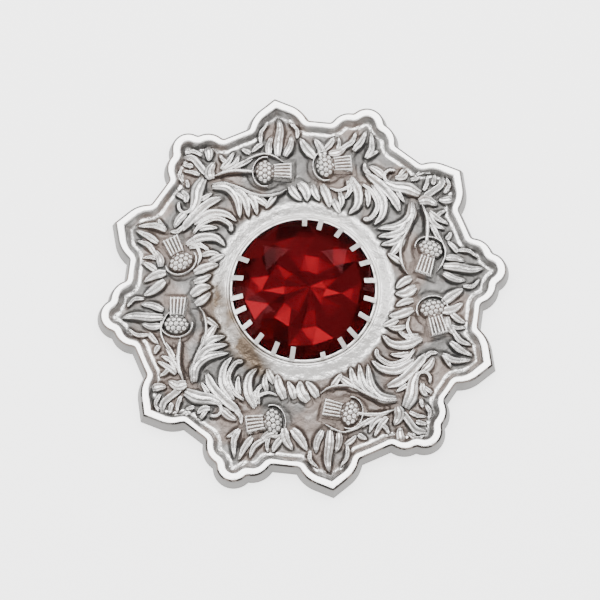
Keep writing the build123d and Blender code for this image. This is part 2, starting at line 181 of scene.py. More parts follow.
# Cast plate, the lie of its raised work.
# Four quarters alike: a stalk with a thistle, a turned-over acanthus leaf, two more
# scrolls, and a spray in each of three lobes.  The ground is chased down round them.
# A row: form, half width, height, then its course as turn and radius.
quarter_work = (
    # low leaves at the collar and between the lobes
    ("leaf", 0.75, 0.90, (-1.0, 20.0), (-3.2, 18.4), (-7.0, 17.0)),
    ("leaf", 0.90, 0.95, (-6.0, 20.6), (-9.6, 18.9), (-10.6, 16.9)),
    ("leaf", 0.65, 0.85, (-13.0, 20.2), (-15.0, 18.5), (-18.2, 17.2)),
    ("leaf", 0.60, 0.85, (64.3, 18.2), (60.1, 16.9), (57.0, 16.0)),
    ("leaf", 0.80, 0.90, (72.0, 20.4), (67.4, 18.2), (64.5, 16.4)),
    ("leaf", 0.55, 0.85, (61.9, 19.8), (59.1, 18.4), (57.8, 16.9)),
    ("leaf", 0.85, 0.95, (77.0, 25.6), (80.5, 27.4), (83.0, 29.4)),
    ("leaf", 0.80, 0.90, (73.5, 25.6), (75.0, 27.6), (77.8, 29.4)),
    ("leaf", 0.60, 0.70, (73.3, 27.4), (71.7, 28.8), (70.8, 30.2)),
    ("leaf", 0.50, 0.70, (12.4, 28.2), (13.2, 28.9), (14.6, 29.6)),
    ("leaf", 0.50, 0.75, (6.6, 29.4), (9.4, 28.9), (11.6, 28.3)),
    ("leaf", 0.40, 0.85, (43.0, 30.0), (43.0, 29.0), (43.1, 27.7)),
    ("broad", 0.80, 1.00, (47.3, 26.4), (51.0, 26.8), (54.7, 26.8)),
    ("leaf", 0.45, 0.85, (52.4, 25.4), (55.4, 25.9), (57.0, 27.2)),
    ("leaf", 0.34, 0.95, (59.2, 23.6), (58.5, 21.7), (62.6, 20.1), (68.2, 20.1)),
    ("leaf", 0.34, 0.80, (57.1, 23.3), (56.5, 21.2), (58.9, 19.4)),
    # scrolls between the thistle and the turned leaf
    ("leaf", 0.50, 0.80, (60.4, 22.6), (57.5, 20.8), (58.0, 18.9)),
    ("leaf", 0.80, 1.20, (59.4, 23.3), (53.8, 21.5), (50.1, 19.0), (51.6, 16.7)),
    ("leaf", 0.55, 0.90, (50.6, 22.5), (47.6, 21.4), (44.9, 19.8)),
    ("curl", 0.62, 1.20, (53.4, 23.0), (47.6, 22.7), (41.3, 21.1), (39.3, 18.5), (42.1, 17.3)),
    ("leaf", 0.75, 1.05, (49.4, 24.0), (41.3, 22.7), (36.4, 20.4), (35.2, 18.0)),
    ("gutter", 0.90, 1.10, (54.2, 25.3), (46.4, 24.8), (38.5, 24.3), (32.4, 23.4)),
    # spray in the lobe beyond the stalk's foot
    ("leaf", 0.42, 0.80, (38.5, 30.7), (37.6, 32.1), (35.5, 32.8)),
    ("leaf", 0.40, 0.70, (38.8, 29.2), (37.8, 29.9), (37.0, 30.6)),
    ("leaf", 0.48, 0.80, (32.2, 31.6), (33.2, 32.4), (34.4, 33.3)),
    ("leaf", 0.42, 0.85, (32.6, 29.5), (33.8, 30.9), (35.8, 32.2)),
    ("leaf", 0.40, 0.85, (27.6, 32.3), (29.0, 34.0), (31.6, 34.5)),
    ("broad", 0.80, 0.90, (24.6, 33.0), (25.3, 31.8), (26.8, 30.6)),
    ("gutter", 0.70, 1.15, (30.5, 28.4), (30.4, 30.7), (30.5, 32.8), (32.6, 34.2)),
    ("leaf", 0.42, 0.85, (21.8, 28.5), (22.4, 29.4), (22.4, 30.6)),
    ("leaf", 0.55, 1.00, (25.0, 27.9), (21.2, 28.5), (17.4, 29.7)),
    ("leaf", 0.58, 1.00, (24.6, 27.4), (19.8, 27.4), (16.3, 28.7)),
    ("leaf", 0.55, 1.00, (20.4, 26.8), (15.9, 26.9), (11.5, 27.2)),
    ("stem", 0.28, 1.30, (17.4, 26.9), (12.7, 27.2), (7.6, 27.2), (3.7, 26.2), (0.2, 24.8)),
    # spray in the lobe over the thistle
    ("leaf", 0.38, 0.75, (7.3, 29.6), (6.2, 31.6), (3.4, 32.9)),
    ("leaf", 0.38, 0.75, (-6.0, 29.4), (-6.0, 31.2), (-3.6, 32.6)),
    ("broad", 0.68, 1.10, (5.5, 26.9), (4.7, 28.7), (2.8, 30.3)),
    ("broad", 0.68, 1.10, (-0.6, 26.0), (-3.2, 28.0), (-4.0, 30.0)),
    ("broad", 0.85, 1.40, (2.3, 26.2), (1.1, 28.8), (-0.3, 31.4), (-0.3, 33.6)),
    # spray in the lobe behind the other thistle
    ("leaf", 0.40, 0.75, (68.6, 27.8), (68.4, 29.0), (69.3, 30.4)),
    ("leaf", 0.52, 1.00, (67.7, 28.0), (64.6, 29.7), (64.0, 30.9), (64.0, 32.3)),
    ("leaf", 0.62, 1.10, (62.6, 28.5), (61.3, 30.6), (60.8, 33.2)),
    ("leaf", 0.48, 0.95, (57.1, 28.2), (55.9, 29.2), (54.2, 30.4)),
    ("leaf", 0.60, 1.10, (57.1, 28.0), (57.0, 30.3), (59.4, 33.2)),
    ("broad", 0.75, 1.20, (71.5, 26.7), (68.1, 27.3), (65.6, 28.8)),
    # stalk's foot and the turned-over leaf
    ("broad", 1.00, 1.30, (30.4, 27.4), (28.9, 28.9), (25.4, 29.8)),
    ("leaf", 0.45, 0.95, (40.1, 25.9), (36.9, 25.5), (33.8, 25.2)),
    ("curl", 0.42, 1.10, (42.0, 26.5), (45.9, 26.1), (47.7, 26.9), (47.2, 28.0), (45.2, 28.7)),
    ("leaf", 0.60, 0.95, (43.6, 27.6), (41.4, 28.6), (41.2, 29.8)),
    ("broad", 1.20, 1.35, (32.4, 28.5), (37.1, 27.6), (41.5, 26.2), (46.8, 25.6)),
    ("leaf", 0.58, 0.95, (7.4, 18.9), (11.6, 17.9), (15.9, 17.0)),
    ("broad", 0.85, 1.10, (20.4, 21.0), (16.8, 19.0), (13.4, 17.0)),
    ("leaf", 0.75, 1.10, (22.2, 22.0), (20.3, 19.4), (22.6, 16.7)),
    ("leaf", 0.82, 1.20, (26.4, 24.3), (23.5, 20.9), (27.9, 17.1)),
    ("broad", 0.95, 1.30, (31.8, 26.2), (27.2, 24.3), (26.7, 21.4), (32.2, 18.0)),
    ("stem", 0.32, 1.55, (31.8, 26.6), (27.5, 25.2), (22.9, 22.7), (18.7, 20.4),
     (12.9, 19.1), (5.6, 18.8), (0.9, 19.4)),
    ("stem", 0.48, 1.30, (28.7, 27.5), (24.0, 26.9), (20.4, 26.1), (15.7, 24.9), (13.0, 24.2)),
)
work_done = [(row, 90 * quarter) for quarter in range(4) for row in quarter_work]

# Eight thistle heads, all pointing the same way round.
# A row: turn and radius of the bulb's middle, then of the flower's end.
thistles = (
    ((99.2, 23.7), (83.5, 22.6)), ((72.0, 24.1), (56.5, 27.1)), ((10.4, 24.7), (-4.0, 21.5)),
    ((-16.2, 23.8), (-31.0, 27.9)), ((-77.8, 24.2), (-95.0, 21.2)), ((-111.3, 24.8), (-125.5, 28.2)),
    ((-173.2, 24.1), (-190.4, 22.9)), ((158.0, 23.2), (146.5, 28.2)),
)
bulb_radius = 2.75
neck_half_width = 1.55
flower_half_width = 1.90
flower_start = 1.3
flower_end = 5.0
leaf_fullness = 1.25
groove_width = 0.50
groove_depth = 0.35
head_groove = 0.95
head_groove_fullness = 1.6
wall_foot = 0.10
wall_rise = 0.95
wall_run = 0.70
bead_rise = 0.20
bead_place = 1.0
bead_half_width = 0.17
chasing_sections = 12

work_outer = ring_at(rim_width + wall_foot)
shares = np.linspace(0, 1, field_rings)[:, None]
work_radius = work_outer + shares * (sweep_end - work_outer)
work_x, work_y = work_radius * np.cos(turns), work_radius * np.sin(turns)
from_rim = np.array([
    np.interp(outline_radius[c] - work_radius[:, c], inward, edge_distance[:, c])
    for c in range(columns)]).T - rim_width
wall = wall_rise * np.clip(1 - from_rim / wall_run, 0, 1) ** 1.4
bead = bead_rise * np.exp(-(((from_rim - bead_place) / bead_half_width) ** 2))
chased = np.zeros_like(work_radius)


def course(knots, turn, count):
    """A smooth line through the knots of a form, turned into place."""
    angle = np.radians([knot[0] + turn for knot in knots])
    radius = np.array([knot[1] for knot in knots])
    spots = np.stack([radius * np.cos(angle), radius * np.sin(angle)], 1)
    ends = np.vstack([2 * spots[0] - spots[1], spots, 2 * spots[-1] - spots[-2]])
    where = np.linspace(0, len(spots) - 1, count)
    span = np.minimum(where.astype(int), len(spots) - 2)
    t = (where - span)[:, None]
    a, b, c, d = (ends[span + k] for k in range(4))
    return 0.5 * (2 * b + (c - a) * t + (2 * a - 5 * b + 4 * c - d) * t**2 + (3 * b - a - 3 * c + d) * t**3)


def widths_along(form, along):
    """Half width of a form along its course, as shares of its full half width."""
    if form in ("leaf", "broad"):
        return leaf_fullness * np.minimum(1, 0.6 + 1.6 * along) * np.clip(1 - along**3.0, 0.003, 1) ** 0.65
    if form == "curl":
        blunt_end = np.clip((1 - along) / 0.06, 0.05, 1) ** 0.5
        return np.minimum(1, 0.5 + 1.6 * along) * (1 - 0.25 * along) * blunt_end
    return np.minimum(1, 0.45 + 4 * along) * np.clip(0.35 + 3.2 * (1 - along), 0, 1)


def measure(line, x, y):
    """Distance from a line and how far along it the nearest point is."""
    first, step = line[:-1], np.diff(line, axis=0)
    from_x, from_y = x[:, None] - first[:, 0], y[:, None] - first[:, 1]
    t = np.clip((from_x * step[:, 0] + from_y * step[:, 1]) / (step**2).sum(1), 0, 1)
    off = np.hypot(from_x - t * step[:, 0], from_y - t * step[:, 1])
    nearest = off.argmin(1)
    row = np.arange(len(x))
    return off[row, nearest], (nearest + t[row, nearest]) / len(step)


def lie_of_thistle(bulb, flower):
    """Middle of a thistle's bulb and its unit heading to the flower, in complex numbers."""
    centre = bulb[1] * np.exp(1j * math.radians(bulb[0]))
    heading = flower[1] * np.exp(1j * math.radians(flower[0])) - centre
    return centre, heading / abs(heading)


for (form, half_width, height, *knots), turn in work_done:
    line = course(knots, turn, chasing_sections)
    margin = leaf_fullness * half_width + groove_width
    low, high = line.min(0) - margin, line.max(0) + margin
    near = (work_x > low[0]) & (work_x < high[0]) & (work_y > low[1]) & (work_y < high[1])
    off, along = measure(line, work_x[near], work_y[near])
    beyond = off - half_width * widths_along(form, along)
    chased[near] = np.maximum(chased[near], np.clip(1 - beyond / groove_width, 0, 1))
for bulb, flower in thistles:
    centre, heading = lie_of_thistle(bulb, flower)
    local = (work_x + 1j * work_y - centre) / heading
    half = neck_half_width + (flower_half_width - neck_half_width) * np.clip(
        (local.real - flower_start) / (flower_end - flower_start), 0, 1)
    beyond_flower = np.maximum(np.abs(local.imag) - half, np.maximum(local.real - flower_end, -local.real))
    beyond = np.minimum(np.abs(local) - bulb_radius, beyond_flower)
    depth = head_groove_fullness - head_groove_fullness * beyond / head_groove
    chased = np.maximum(chased, np.clip(depth, 0, 1))

# Cast plate, its mesh.
# The chased ground runs into the collar and the rim; under it lie the drafted side,
# the flat back edge and the hollow back with the boss under the stone's seat.
chasing_fade_at_collar = 0.5
chasing_start_at_rim = 0.4
chasing_fade_at_rim = 0.6
rim_outside = (
    # share of the draft, height
    (0.5, 2.0), (0.92, 3.66), (1.04, 3.87), (1.22, 3.97), (1.5, rim_height),
)
rim_inside = (
    # distance short of the rim's width, height
    (0.62, 4.0), (0.22, 3.97), (0.08, 3.9), (0.0, 3.72),
)
floor_middle_radius = 6.0
seat = (
    # radius, height: the collar's lip, then the seat for the cup
    (14.0, 5.69), (13.82, 5.66), (13.68, 5.56), (seat_radius, 5.4),
    (seat_radius, 4.4), (seat_radius, seat_floor), (floor_middle_radius, seat_floor),
)
rings_of_lip = 3
hollow_middle_radius = 24.0
hollow_side_lean = 0.05
inside_rim = smooth((work_radius - sweep_start) / chasing_fade_at_collar) * smooth(
    (from_rim - chasing_start_at_rim) / chasing_fade_at_rim)
work_height = ground_height(work_radius) + wall + bead - groove_depth * smooth(chased) * inside_rim


def under_height(radius):
    """Height of the hollow back's roof, one wall under the field."""
    return band_edge_height - field_slope * (radius - band_radius) - cast_wall


flat = np.ones(columns)
rings = [(ring_at(0.0), 0.0 * flat)]
rings += [(ring_at(rim_draft * share), height * flat) for share, height in rim_outside]
rings += [(ring_at(rim_width - back), height * flat) for back, height in rim_inside]
first_work_ring = len(rings)
rings += [(work_radius[k], work_height[k]) for k in range(field_rings)]
rings += [(radius * flat, height * flat) for radius, height in seat]
hollow_edge = ring_at(rim_width)
under_rings = [
    (hollow_edge, 0.0 * flat), (hollow_edge - hollow_side_lean, under_height(hollow_edge)),
    (hollow_middle_radius * flat, under_height(hollow_middle_radius) * flat),
    (boss_radius * flat, under_height(boss_radius) * flat),
    ((boss_radius - hollow_side_lean) * flat, boss_foot * flat),
    (floor_middle_radius * flat, boss_foot * flat),
]
radii = np.array([ring[0] for ring in rings + under_rings])
heights = np.array([ring[1] for ring in rings + under_rings])
points = np.stack([radii * np.cos(turns), radii * np.sin(turns), heights], 2).reshape(-1, 3)
points = np.vstack([points, [0, 0, seat_floor], [0, 0, boss_foot]]) * mm

column = np.arange(columns)
after = (column + 1) % columns


def strip(outer, inner):
    """Four-sided faces between two rings, their fronts up when outer is the outer one."""
    a, b = outer * columns, inner * columns
    return np.stack([a + column, a + after, b + after, b + column], 1)


def mark(mesh, label, values):
    """A number for each point of a mesh, which nodes can read under its label."""
    layer = mesh.attributes.new(label, "FLOAT", "POINT")
    layer.data.foreach_set("value", np.asarray(values, np.float32))


def in_scene(name, data):
    """An object at the origin, linked to the scene."""
    made = bpy.data.objects.new(name, data)
    bpy.context.collection.objects.link(made)
    return made


def shade_smooth(mesh):
    mesh.polygons.foreach_set("use_smooth", [True] * len(mesh.polygons))


faces = [strip(k, k + 1) for k in range(len(rings) - 1)]
under_first = len(rings)
faces.append(strip(under_first, 0))
faces += [strip(under_first + k + 1, under_first + k) for k in range(len(under_rings) - 1)]
quads = np.concatenate(faces)
last_top, last_under = (len(rings) - 1) * columns, (len(rings) + len(under_rings) - 1) * columns
middle_top = (len(rings) + len(under_rings)) * columns
fans = [(last_top + c, last_top + n, middle_top) for c, n in zip(column, after)]
fans += [(last_under + n, last_under + c, middle_top + 1) for c, n in zip(column, after)]

plate_mesh = bpy.data.meshes.new("plate_cast")
plate_mesh.from_pydata(points.tolist(), [], quads.tolist() + fans)
shade_smooth(plate_mesh)
plate_mesh.set_sharp_from_angle(angle=math.radians(50))
plate = in_scene("plate_cast", plate_mesh)

# How clean each place is rubbed, with painted light over it: 0 in the depths, dark as patina and painted
# shade,
# 1 where it stands proud, rubbed and painted bright, and under 0 down the drafted side and on the back edge,
# painted shade.
field_shine = 0.34
groove_loss = 0.26
wall_gain = 0.07
bead_gain = 0.8
collar_gain = 0.50
collar_gain_start = sweep_start + 1.2
collar_gain_run = 1.4
seat_shine = 0.25
back_shine = 0.6
side_shine = -0.4
# Painted shade on the rim's rounded outer and inner shoulders and down its side; the flat top stays bright.
rim_shine = (
    # ring, shine
    (0, side_shine), (1, side_shine), (2, side_shine), (3, -0.2), (4, 0.15), (5, 0.60), (8, 0.50), (9, 0.36),
)
cast_on_rim = 0.15
field = slice(first_work_ring * columns, (first_work_ring + field_rings) * columns)
# The chased grooves round the forms go darker as patina and painted shade; the rim's inner wall and the bead
# get painted highlight.
rubbed_and_painted_light = (field_shine - groove_loss * smooth(chased) * inside_rim
         + wall_gain * wall / wall_rise + bead_gain * bead / bead_rise)
rubbed_and_painted_light = np.clip(rubbed_and_painted_light + collar_gain * smooth((collar_gain_start - work_radius) / collar_gain_run), 0, 1)
shine = np.ones(len(points))
for ring, share in rim_shine:
    shine[ring * columns:(ring + 1) * columns] = share
shine[field] = rubbed_and_painted_light.ravel()
shine[(first_work_ring + field_rings + rings_of_lip) * columns:] = seat_shine
shine[under_first * columns:] = back_shine
shine[under_first * columns:(under_first + 1) * columns] = side_shine
mark(plate_mesh, "rubbed_and_painted_light", shine)
rough_cast = np.full(len(points), cast_on_rim)
rough_cast[field] = 1
rough_cast[under_first * columns:] = 1
mark(plate_mesh, "rough_cast", rough_cast)


# Cast plate, its bright plating.
# White and mirror-like where a cloth reaches it, with painted highlight; grey-brown in the recesses as
# patina and painted shade, with the small ripples of a casting, a warm tint at the collar, brown painted
# reflection low down and a few dark pits.
class Wire:
    """A socket's value in a material, which takes arithmetic."""

    def __init__(self, finish, socket):
        self.finish = finish
        self.socket = socket

    def _math(self, operation, first, second):
        return self.finish.node("ShaderNodeMath", {"operation": operation}, {0: first, 1: second})

    def __add__(self, other):
        return self._math("ADD", self, other)

    def __sub__(self, other):
        return self._math("SUBTRACT", self, other)

    def __mul__(self, other):
        return self._math("MULTIPLY", self, other)

    def __rsub__(self, other):
        return self._math("SUBTRACT", other, self)

    __radd__ = __add__
    __rmul__ = __mul__


class Finish:
    """A material and its one Principled shader, with the nodes that feed it."""

    def __init__(self, name, **uniform):
        self.material = bpy.data.materials.new(name)
        self.material.use_nodes = True
        self.tree = self.material.node_tree
        self.shader = self.tree.nodes["Principled BSDF"]
        for word, value in uniform.items():
            self.shader.inputs[word.replace("_", " ")].default_value = value

    def link(self, value, socket):
        if isinstance(value, Wire):
            self.tree.links.new(value.socket, socket)
        else:
            socket.default_value = value

    def node(self, kind, settings, sockets, output=0):
        made = self.tree.nodes.new(kind)
        for name, value in settings.items():
            setattr(made, name, value)
        for name, value in sockets.items():
            self.link(value, made.inputs[name])
        return Wire(self, made.outputs[output])

    def mix(self, factor, first, second):
        return self.node("ShaderNodeMix", {"data_type": "RGBA"}, {0: factor, 6: first, 7: second}, output=2)

    def between(self, value, low, high):
        """0 where the value is under low, 1 over high, smooth between."""
        return self.node("ShaderNodeMapRange", {"interpolation_type": "SMOOTHSTEP"},
                         {"Value": value, "From Min": low, "From Max": high})

    def noise(self, place, scale, detail=2.0, roughness=0.5):
        return self.node("ShaderNodeTexNoise", {},
                         {"Vector": place, "Scale": scale, "Detail": detail, "Roughness": roughness})

    def feed(self, **sockets):
        for word, value in sockets.items():
            self.link(value, self.shader.inputs[word.replace("_", " ")])


bright_silver = (0.92, 0.91, 0.90, 1)
# Recess colours, patina with painted shade in it; then the painted shade of the drafted side, and a warm
# tint that is partly tone and partly painted reflection.
sunk_metal = (0.175, 0.17, 0.165, 1)
sunk_brown = (0.24, 0.20, 0.18, 1)
shaded_side = (0.15, 0.145, 0.14, 1)
warm_tone_and_reflection = (0.16, 0.12, 0.088, 1)
pitted = (0.012, 0.011, 0.010, 1)
cast_finish = Finish("cast_plate", Metallic=1.0, Specular_IOR_Level=0.5)
place = cast_finish.node("ShaderNodeTexCoord", {}, {}, output=3)
place_x, place_y, place_z = (
    cast_finish.node("ShaderNodeSeparateXYZ", {}, {0: place}, output=axis) for axis in range(3))
rub_and_light_value = cast_finish.node("ShaderNodeAttribute", {"attribute_name": "rubbed_and_painted_light"}, {}, output=2)
mottle = cast_finish.noise(place, 420.0, 3.0)
unpolished = cast_finish.node("ShaderNodeAttribute", {"attribute_name": "rough_cast"}, {}, output=2)
ripple = cast_finish.noise(place, 900.0, 2.0)
grit = cast_finish.noise(place, 4200.0, 2.0)
# Bright silver where rubbed clean and where a highlight is painted, the recess colours elsewhere.
rubbed_and_highlit = cast_finish.between(rub_and_light_value + (mottle - 0.5) * 0.28, 0.30, 0.66)
# Painted reflection: the half towards the camera, at negative y, turns browner; the rest of the brown is
# random tone.
lower_half_painted_reflection = cast_finish.between(place_y * -1.0, -0.012, 0.026)
brown_tone_and_reflection = cast_finish.between(cast_finish.noise(place, 160.0, 1.0) + lower_half_painted_reflection * 0.10, 0.47, 0.62)
silver = cast_finish.mix(rubbed_and_highlit, cast_finish.mix(brown_tone_and_reflection, sunk_metal, sunk_brown), bright_silver)
# Painted shade: where marked under 0, on the drafted side and the back edge, the colour goes to a dark grey.
silver = cast_finish.mix(cast_finish.between(rub_and_light_value * -1.0, 0.0, 0.35), silver, shaded_side)
# The collar, the seat's lip, the lower left with its painted reflection and the front, by their place in
# metres.
away = cast_finish.node("ShaderNodeVectorMath", {"operation": "LENGTH"}, {0: place}, output=1)
by_collar = 1 - cast_finish.between(away, 0.0160, 0.0192)
by_seat = 1 - cast_finish.between(away, 0.0141, 0.0150)
spread = cast_finish.noise(place, 130.0, 3.0, 0.6)
lower_left = cast_finish.between(place_x * -0.94 - place_y * 0.34, 0.0098, 0.0142)
on_front = cast_finish.between(place_z, 0.0040, 0.0046)
# Painted reflection: a brown-olive cast on the collar's lower left, broken up by noise.
lower_left_painted_reflection = lower_left * (1 - cast_finish.between(away, 0.0170, 0.0196)) * (
    cast_finish.between(spread, 0.36, 0.58) * 0.55 + 0.40)
warmth_and_reflection = by_collar * cast_finish.between(spread, 0.42, 0.66) * 0.12 + by_seat * 0.15 + lower_left_painted_reflection
# Pits on the rim's smooth shoulders, only on the half at negative y.
shoulder = cast_finish.between(rub_and_light_value, -0.39, -0.25) * (1 - cast_finish.between(rub_and_light_value, 0.42, 0.60))
near_side = cast_finish.between(place_y * -1.0, 0.004, 0.018)
pits = (1 - unpolished) * near_side * shoulder * cast_finish.between(
    cast_finish.noise(place, 330.0, 3.0, 0.65), 0.47, 0.52)
scored = cast_finish.noise(place, 330.0, 4.0, 0.7)
cast_finish.feed(
    Base_Color=cast_finish.mix(pits, cast_finish.mix(warmth_and_reflection * on_front, silver, warm_tone_and_reflection), pitted),
    Roughness=0.54 - rubbed_and_highlit * 0.35 + by_collar * 0.16,
    Normal=cast_finish.node("ShaderNodeBump", {}, {
        "Strength": 0.65, "Distance": 0.0004,
        "Height": (ripple + grit * 0.22 + by_collar * scored * 1.2) * unpolished}))
plate_mesh.materials.append(cast_finish.material)
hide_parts("plate")
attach(plate, "root")

# Acanthus.
# Stems, scrolls and fluted leaves, one with the casting, swept along their courses
# with their feet sunk in the ground.  Leaves narrow to a point that lifts a little.
sections = 22
section_points = 13
sunk_foot = 0.4
crease = 0.55
crease_half_width = 0.28
tip_lift = 0.22
edge_shine = 0.08
ridge_shine = 1.00
ridge_narrowness = 2.6
cast_on_leaves = 0.8


def section_of(form, u):
    """Height of a form's section, as a share, across it from -1 to 1."""
    dome = np.sqrt(np.clip(1 - u**2, 0, 1))
    if form == "stem":
        return dome
    if form == "gutter":
        return (1 - u**6) * (0.40 + 0.60 * np.abs(u) ** 1.5)
    if form == "broad":
        return dome**0.9 * (0.78 + 0.22 * np.cos(3 * math.pi * u))
    return dome**0.9 * (1 - crease * np.exp(-((u / crease_half_width) ** 2)))


u = np.sin(np.linspace(-math.pi / 2, math.pi / 2, section_points))
along = np.linspace(0, 1, sections)
raised_points, raised_faces, raised_rub_and_light = [], [], []
round_count = section_points + 2
for (form, half_width, height, *knots), turn in work_done:
    line = course(knots, turn, sections)
    tangent = np.gradient(line, axis=0)
    sideways = np.stack([-tangent[:, 1], tangent[:, 0]], 1) / np.hypot(tangent[:, 0], tangent[:, 1])[:, None]
    width = half_width * widths_along(form, along)
    if form in ("leaf", "broad"):
        rise = np.minimum(1, 0.70 + 1.2 * along) * (1 - 0.55 * along**2)
        rise = rise + tip_lift * np.exp(-(((along - 0.88) / 0.08) ** 2))
    elif form == "curl":
        rise = 0.75 + 0.35 * along
    else:
        rise = np.minimum(1, 0.6 + 3 * along) * np.minimum(1, 0.5 + 3 * (1 - along))
    profile = section_of(form, u)
    spots = line[:, None, :] + sideways[:, None, :] * (u[None, :] * width[:, None])[:, :, None]
    edge_spots = spots[:, (-1, 0), :]
    ground_under = ground_height(np.hypot(spots[:, :, 0], spots[:, :, 1]))
    top = ground_under + height * rise[:, None] * profile[None, :]
    low = ground_height(np.hypot(edge_spots[:, :, 0], edge_spots[:, :, 1])) - sunk_foot
    base = len(raised_points)
    ring_points = np.concatenate([np.dstack([spots, top]), np.dstack([edge_spots, low])], 1)
    raised_points += ring_points.reshape(-1, 3).tolist()
    # Painted highlight along each form's crest, narrowing with the power; the flanks, crease and sunk feet
    # get patina and painted shade.
    ridge = np.clip(profile / profile.max(), 0, 1) ** ridge_narrowness
    raised_rub_and_light += np.tile(np.append(edge_shine + ridge_shine * ridge, [0.0, 0.0]), sections).tolist()
    for k in range(sections - 1):
        a, b = base + k * round_count, base + (k + 1) * round_count
        for j in range(round_count):
            n = (j + 1) % round_count
            raised_faces.append((a + j, b + j, b + n, a + n))
    raised_faces.append([base + j for j in range(round_count)])
    raised_faces.append([base + (sections - 1) * round_count + j for j in reversed(range(round_count))])


def cast_piece(name, spots, face_list, rub_and_light_list):
    """A closed mesh in the plate's metal, its faces turned outwards."""
    mesh = bpy.data.meshes.new(name)
    mesh.from_pydata((np.array(spots) * mm).tolist(), [], face_list)
    mark(mesh, "rubbed_and_painted_light", rub_and_light_list)
    mark(mesh, "rough_cast", np.full(len(spots), cast_on_leaves))
    solid = bmesh.new()
    solid.from_mesh(mesh)
    bmesh.ops.recalc_face_normals(solid, faces=solid.faces)
    solid.to_mesh(mesh)
    solid.free()
    shade_smooth(mesh)
    mesh.materials.append(cast_finish.material)
    piece = in_scene(name, mesh)
    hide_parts("plate")
    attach(piece, "root")


cast_piece("acanthus", raised_points, raised_faces, raised_rub_and_light)

# Thistle heads.
# Each has an oval bulb under rows of beads, the rim of its cup round the stalk's side
# and a ribbed flower with a square end.  They are one with the casting as well.
bulb_across = 2.45
bulb_along = 1.80
bulb_height = 1.95
bead_pitch = 1.02
bead_row_pitch = 0.84
bead_radius = 0.47
bead_height = 0.42
cup_rim_across = 2.90
cup_rim_along = 2.30
cup_rim_height = 1.15
cup_rim_half_width = 0.20
flower_height = 2.0
rib_pitch = 0.56
rib_height = 0.26
cup_rim_end = 0.6
head_step = 0.10
head_sunk = 0.5
head_skirt = 0.2
head_margin = 0.5
flower_margin = 0.4
head_a = np.arange(-cup_rim_along - head_margin, flower_end + flower_margin, head_step)
head_b = np.arange(-cup_rim_across - head_margin, cup_rim_across + head_margin + head_step, head_step)
a, b = np.meshgrid(head_a, head_b, indexing="ij")
from_middle = np.hypot(a / bulb_along, b / bulb_across)
bead_row = np.round(a / bead_row_pitch)
shifted = 0.5 * (bead_row % 2)
bead_column = np.round(b / bead_pitch - shifted)
from_bead = np.hypot(a - bead_row * bead_row_pitch, b - (bead_column + shifted) * bead_pitch) / bead_radius
beads = np.sqrt(np.clip(1 - from_bead**2, 0, 1))
bulb_top = bulb_height * np.sqrt(np.clip(1 - from_middle**2.6, 0, None)) + bead_height * (beads - 0.5)
cup_rim_off = (np.hypot(a / cup_rim_along, b / cup_rim_across) - 1) * 0.5 * (cup_rim_along + cup_rim_across)
cup_rim = np.clip(1 - (cup_rim_off / cup_rim_half_width) ** 2, 0, 1) ** 0.5
share = np.clip((a - flower_start) / (flower_end - flower_start), 0, 1)
half = neck_half_width + (flower_half_width - neck_half_width) * share
across = b / half
ribs = np.cos(math.tau * b / rib_pitch * neck_half_width / half)
flower_top = flower_height * np.clip(1 - np.abs(across) ** 8, 0, None) ** 0.5 + rib_height * (ribs - 1)
in_flower = (a > 0) & (a < flower_end) & (np.abs(across) < 1)
on_bulb = from_middle < 1
on_rim = (cup_rim > 0) & (a < cup_rim_end) & ~on_bulb
head_top = np.full(a.shape, -head_sunk)
head_top[in_flower] = flower_top[in_flower]
head_top[on_rim] = cup_rim_height * cup_rim[on_rim]
head_top[on_bulb] = np.maximum(bulb_top, np.where(in_flower, flower_top - 0.5, 0))[on_bulb]


def blurred(field, passes):
    """A grid smoothed along both of its directions."""
    for _ in range(passes):
        padded = np.pad(field, 1, mode="edge")
        field = (4 * field + padded[:-2, 1:-1] + padded[2:, 1:-1] + padded[1:-1, :-2] + padded[1:-1, 2:]) / 8
    return field


# Painted highlight on ribs and edges where they stand over what is round them, and on the beads' tops; what
# lies lower stays dark as patina and painted shade.
head_rub_and_light = np.clip(0.50 + 3.0 * (head_top - blurred(head_top, 5)), 0, 1) * (head_top > -0.2)
head_rub_and_light = np.where(on_bulb, 1.15 * beads * smooth(3 * (1.05 - from_middle)), head_rub_and_light)
head_rub_and_light = np.where(on_rim, cup_rim, head_rub_and_light)
wide, deep = head_top.shape
number = np.arange(wide * deep).reshape(wide, deep)
head_quads = np.stack([number[:-1, :-1], number[1:, :-1], number[1:, 1:], number[:-1, 1:]], 2).reshape(-1, 4)
border = np.concatenate([number[:, 0], number[-1, 1:], number[-2::-1, -1], number[0, -2:0:-1]])
head_points, head_faces, head_shine = [], [], []
for bulb, flower in thistles:
    centre, heading = lie_of_thistle(bulb, flower)
    where = centre + (a + 1j * b) * heading
    base = len(head_points)
    ground_under = ground_height(np.abs(where))
    spots = np.dstack([where.real, where.imag, ground_under + head_top]).reshape(-1, 3)
    feet = spots[border].copy()
    feet[:, 2] -= head_skirt
    head_points += spots.tolist() + feet.tolist()
    head_shine += head_rub_and_light.ravel().tolist() + [0.0] * len(border)
    head_faces += (head_quads + base).tolist()
    foot = base + wide * deep
    count = len(border)
    head_faces += [(base + border[k], foot + k, foot + (k + 1) % count, base + border[(k + 1) % count])
                   for k in range(count)]
    head_faces.append([foot + k for k in range(count)])
cast_piece("thistle_heads", head_points, head_faces, head_shine)

